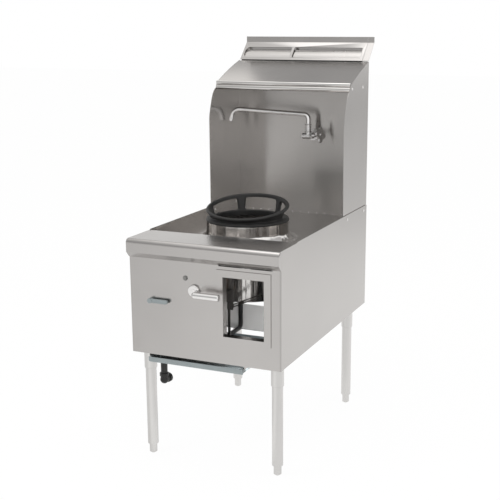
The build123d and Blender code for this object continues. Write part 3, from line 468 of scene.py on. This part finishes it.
def pick(piece, chosen):
    """Object mode selection of the faces that a test chooses, then edit mode on faces."""
    bpy.context.view_layer.objects.active = piece
    bpy.ops.object.mode_set(mode="EDIT")
    bpy.ops.mesh.select_mode(type="FACE")
    bpy.ops.mesh.select_all(action="DESELECT")
    bpy.ops.object.mode_set(mode="OBJECT")
    for face in piece.data.polygons:
        face.select = chosen(face)
    bpy.ops.object.mode_set(mode="EDIT")


def leave():
    """Back to object mode."""
    bpy.ops.object.mode_set(mode="OBJECT")


def modify(piece, kind, **settings):
    """Add a modifier with its settings and apply it."""
    bpy.context.view_layer.objects.active = piece
    change = piece.modifiers.new(kind.lower(), kind)
    for key, value in settings.items():
        setattr(change, key, value)
    bpy.ops.object.modifier_apply(modifier=change.name)


def dress(piece, body, made):
    """Finish, slot and body of a new piece."""
    piece.data.materials.clear()
    piece.data.materials.append(made)
    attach(piece, body)


def copy_at(master, name, place, outward=(0, 0, 1)):
    """Copy of a piece modelled at the origin, with its own mesh set at a place, its +Z along outward."""
    copied = bpy.data.objects.new(name, master.data.copy())
    bpy.context.scene.collection.objects.link(copied)
    turn = Vector(outward).to_track_quat("Z", "Y").to_matrix().to_4x4()
    copied.data.transform(Matrix.Translation(Vector(place)) @ turn)
    return copied


# %% [markdown]
# ## Wok ring
# The ring is a sand casting: a level lip on the collar, a wall that widens upwards with three windows at
# the back, and a rolled upper lip that is tilted up at the rear. Its section is drawn as a closed loop of
# corners and spun round the well's axis. Then the upper corners are turned as one by the tilt, so the wall
# between them stretches as it does on a real casting. A box could be cut and bent instead, but a spun
# section keeps both lips truly round.

# %% Section of the ring
WELL_AXIS = Vector((0, (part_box("well_collar")[0].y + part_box("well_collar")[1].y) / 2, 0))
TILT, TURN = radians(8.6), radians(4)
SEAT, LIP_TOP, RIM_TOP = 0.891, 0.902, 0.9475  # collar's rim, the lower lip's top, the rim's top on the axis
SECTION = ((0.1340, 0.8833), (0.1340, 0.9010), (0.1475, RIM_TOP - 0.0085), (0.1490, RIM_TOP - 0.0030),
           (0.1520, RIM_TOP - 0.0004), (0.1565, RIM_TOP), (0.1610, RIM_TOP - 0.0012),
           (0.1636, RIM_TOP - 0.0045),
           (0.1632, RIM_TOP - 0.0085), (0.1605, RIM_TOP - 0.0112), (0.1560, RIM_TOP - 0.0125),
           (0.1480, 0.9065), (0.1495, 0.9035), (0.1570, LIP_TOP), (0.1610, 0.9000), (0.1634, 0.8960),
           (0.1625, 0.8925), (0.1600, SEAT), (0.1592, 0.8895), (0.1592, 0.8833))
clear_selection()
bpy.ops.mesh.primitive_circle_add(vertices=len(SECTION), radius=0.05)
ring = bpy.context.object
ring.name = "wok_ring_casting"
for corner, (radius, z) in zip(ring.data.vertices, SECTION):
    corner.co = WELL_AXIS + Vector((radius, 0, z))
print("corners of the section", len(ring.data.vertices))

# %% Spin the section and tilt the rim
bpy.ops.object.mode_set(mode="EDIT")
bpy.ops.mesh.select_mode(type="VERT")
bpy.ops.mesh.select_all(action="SELECT")
bpy.ops.mesh.spin(steps=144, angle=2 * pi, center=WELL_AXIS, axis=(0, 0, 1))
bpy.ops.mesh.select_all(action="SELECT")
bpy.ops.mesh.remove_doubles(threshold=0.00002)
bpy.ops.mesh.normals_make_consistent(inside=False)
leave()
tilt = (Matrix.Translation(WELL_AXIS + Vector((0, 0, RIM_TOP))) @ Matrix.Rotation(TURN, 4, "Z")
        @ Matrix.Rotation(TILT, 4, "X") @ Matrix.Rotation(-TURN, 4, "Z")
        @ Matrix.Translation(-WELL_AXIS - Vector((0, 0, RIM_TOP))))
for corner in ring.data.vertices:
    if corner.co.z > RIM_TOP - 0.02:
        corner.co = tilt @ corner.co
print("ring's height", round(ring.dimensions.z, 4))

# %% [markdown]
# The windows are cut by blocks that stand across the wall. The top of each is sliced along the tilted rim,
# and its edges are rounded, so that the openings get the soft corners of a sand core.

# %% Cut the three windows
SILL, WINDOW_BEARINGS, CUT_R = 0.9045, ((26, 28), (90.5, 28.5), (157, 28)), 0.142
rim_normal = tilt.to_3x3() @ Vector((0, 0, 1))
under_rim = tilt @ (WELL_AXIS + Vector((0, 0, RIM_TOP - 0.0135)))
for bearing, half in WINDOW_BEARINGS:
    clear_selection()
    bpy.ops.mesh.primitive_cube_add(size=1)
    core = bpy.context.object
    core.data.transform(Matrix.Diagonal((0.085, 2 * CUT_R * sin(radians(half)), 0.12, 1)))
    core.data.transform(Matrix.Translation(WELL_AXIS) @ Matrix.Rotation(radians(bearing), 4, "Z")
                        @ Matrix.Translation((0.1475, 0, SILL + 0.06)))
    bpy.ops.object.mode_set(mode="EDIT")
    bpy.ops.mesh.select_all(action="SELECT")
    bpy.ops.mesh.bisect(plane_co=under_rim, plane_no=rim_normal, use_fill=True, clear_outer=True)
    leave()
    modify(core, "BEVEL", width=0.009, segments=5, limit_method="ANGLE", angle_limit=radians(40))
    modify(ring, "BOOLEAN", object=core, operation="DIFFERENCE", solver="EXACT")
    bpy.data.objects.remove(core)
print("windows", len(WINDOW_BEARINGS), "faces", len(ring.data.polygons))

# %% [markdown]
# A casting has no sharp edge anywhere. Rounding each edge by hand would be slow and uneven, so the ring is
# rebuilt as fine voxels and smoothed, which rounds all the edges the way a mould does.

# %% Soften the casting
VOXEL, SMOOTHINGS = 0.0017, 5
modify(ring, "REMESH", mode="VOXEL", voxel_size=VOXEL, use_smooth_shade=True)
modify(ring, "SMOOTH", factor=0.5, iterations=SMOOTHINGS)
dress(ring, body_of_node["wok_ring"], cast_iron)
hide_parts("wok_ring")
print("ring faces", len(ring.data.polygons))

# %% [markdown]
# ## Rolled edge of the hood
# The hood's front edge is rolled to a polished bead, and the lip under it to a second, fuller roll. A
# polished roll shows the whole room in one narrow strip, bright above, dark in front and bright below,
# which a flat lip never would. Both are bars along the hood, with their ends drawn in.

# %% Polished rolls
def polished_bar(name, radius, low, high):
    """Round bar between two points along X, its ends stepped in, polished."""
    clear_selection()
    bpy.ops.mesh.primitive_cylinder_add(vertices=48, radius=radius, depth=high.x - low.x,
                                        location=(low + high) / 2, rotation=(0, pi / 2, 0))
    bar = bpy.context.object
    bar.name = name
    bpy.ops.object.transform_apply(location=True, rotation=True, scale=True)
    pick(bar, lambda face: abs(face.normal.x) > 0.9)
    bpy.ops.mesh.inset(thickness=radius * 0.2, use_individual=True)
    bpy.ops.mesh.inset(thickness=radius * 0.3, depth=-radius * 0.1, use_individual=True)
    leave()
    modify(bar, "BEVEL", width=radius * 0.08, segments=2, limit_method="ANGLE", angle_limit=radians(50))
    clear_selection()
    bar.select_set(True)
    bpy.ops.object.shade_smooth_by_angle(angle=radians(40))
    dress(bar, "range", bright_steel)
    return bar


hood_low, hood_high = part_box("hood_panel")
# each roll's radius, and how far its axis is behind and over the hood's low front edge
BEAD_R, BEAD_IN, BEAD_UP = 0.0083, 0.0070, 0.0290
LIP_R, LIP_IN, LIP_UP = 0.0104, 0.0075, 0.0104
ROLL_END = 0.0006  # how far the rolls stop short of the hood's ends
for name, radius, inward, up in (("hood_bead", BEAD_R, BEAD_IN, BEAD_UP),
                                 ("hood_lip_roll", LIP_R, LIP_IN, LIP_UP)):
    y, z = hood_low.y + inward, hood_low.z + up
    polished_bar(name, radius, Vector((hood_low.x + ROLL_END, y, z)), Vector((hood_high.x - ROLL_END, y, z)))
print("hood's front edge at", round(hood_low.y, 4), round(hood_low.z, 4))

# %% [markdown]
# ## Rings on the tap
# The packing collar ends in two polished beads. A bead is a torus pressed flat along its axis, so that it
# catches one bright line. A groove cut in the collar would do too, but the beads stand proud of it on the
# real tap.

# %% Polished beads on the packing collar
collar_low, collar_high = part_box("tap_collar")
collar_middle = (collar_low + collar_high) / 2
RING_R, RING_WIRE, RING_IN = 0.0134, 0.0028, 0.0025  # radius, thickness, and how far from the collar's ends
for i, z in enumerate((collar_low.z + RING_IN, collar_high.z - RING_IN)):
    clear_selection()
    bpy.ops.mesh.primitive_torus_add(major_radius=RING_R, minor_radius=RING_WIRE, major_segments=40,
                                     minor_segments=12, location=(collar_middle.x, collar_middle.y, z))
    bead = bpy.context.object
    bead.name = f"collar_bead_{i}"
    bpy.ops.object.transform_apply(location=True, rotation=True, scale=True)
    bpy.ops.object.mode_set(mode="EDIT")
    bpy.ops.mesh.select_all(action="SELECT")
    bpy.ops.transform.resize(value=(1, 1, 0.85))
    leave()
    bpy.ops.object.shade_smooth()
    dress(bead, "range", chrome)
print("collar beads at", round(collar_middle.x, 4), round(collar_middle.y, 4))

# %% [markdown]
# ## Screws
# Pan-head screws with a washer hold the riser and the sides. One is modelled at the origin: a low drum
# whose top is inset and lifted in steps into a dome. Then it is copied to each hole.


# %% One screw
def domed_head(name, radius, rim, dome):
    """Round head at the origin: a washer rim with a dome raised on it."""
    clear_selection()
    bpy.ops.mesh.primitive_cylinder_add(vertices=24, radius=radius, depth=rim, location=(0, 0, rim / 2))
    head = bpy.context.object
    head.name = name
    bpy.ops.object.transform_apply(location=True, rotation=True, scale=True)
    pick(head, lambda face: face.normal.z > 0.9)
    bpy.ops.mesh.inset(thickness=radius * 0.22)
    for share in (0.45, 0.35, 0.2):
        bpy.ops.mesh.extrude_region_move(TRANSFORM_OT_translate={"value": (0, 0, dome * share)})
        bpy.ops.mesh.inset(thickness=radius * 0.12)
    leave()
    modify(head, "BEVEL", width=radius * 0.05, segments=2, limit_method="ANGLE", angle_limit=radians(50))
    clear_selection()
    head.select_set(True)
    bpy.ops.object.shade_smooth_by_angle(angle=radians(50))
    return head


SCREW = (0.0062, 0.0010, 0.0026)  # radius, rim and dome
screw = domed_head("screw_master", *SCREW)
HALF_WIDTH, RISER_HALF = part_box("side_panel_right")[1].x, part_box("riser_side_right")[1].x
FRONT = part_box("front_panel")[0].y
screw_places = []
for side in (-1, 1):
    for y, z in ((0.712, 0.857), (0.929, 0.857)):
        screw_places.append((side * HALF_WIDTH, FRONT + y, z, side))
    for y, z in ((0.761, 1.384), (0.899, 1.384)):
        screw_places.append((side * RISER_HALF, FRONT + y, z, side))
for i, (x, y, z, side) in enumerate(screw_places):
    dress(copy_at(screw, f"side_screw_{i}", (x, y, z), (side, 0, 0)), "range", chrome)
print("side screws", len(screw_places))

# %% [markdown]
# ## Rivets
# The back sheet's foot is riveted to the deck. A rivet is the same domed head, smaller and without a wide
# rim. Four more of them stand on the inner faces of the side panels, where the side screws come through.

# %% Row of rivets
RIVET = (0.0046, 0.0006, 0.0032)  # radius, rim and dome
rivet = domed_head("rivet_master", *RIVET)
foot_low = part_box("backsplash")[0]
RIVETS, RIVET_STEP, RIVET_START = 15, 0.0386, -0.270
rivet_y, rivet_z = foot_low.y + 0.007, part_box("deck_pan")[0].z + 0.0035
for i in range(RIVETS):
    place = (RIVET_START + RIVET_STEP * i, rivet_y, rivet_z)
    dress(copy_at(rivet, f"deck_rivet_{i}", place), "range", chrome)
for side in (-1, 1):
    for j, y in enumerate((0.712, 0.929)):
        place = (side * (HALF_WIDTH - 0.006), FRONT + y, 0.857)
        dress(copy_at(rivet, f"inner_rivet_{side}_{j}", place, (-side, 0, 0)), "range", chrome)
for made_piece in (screw, rivet):
    bpy.data.objects.remove(made_piece)
print("rivets", RIVETS + 4)
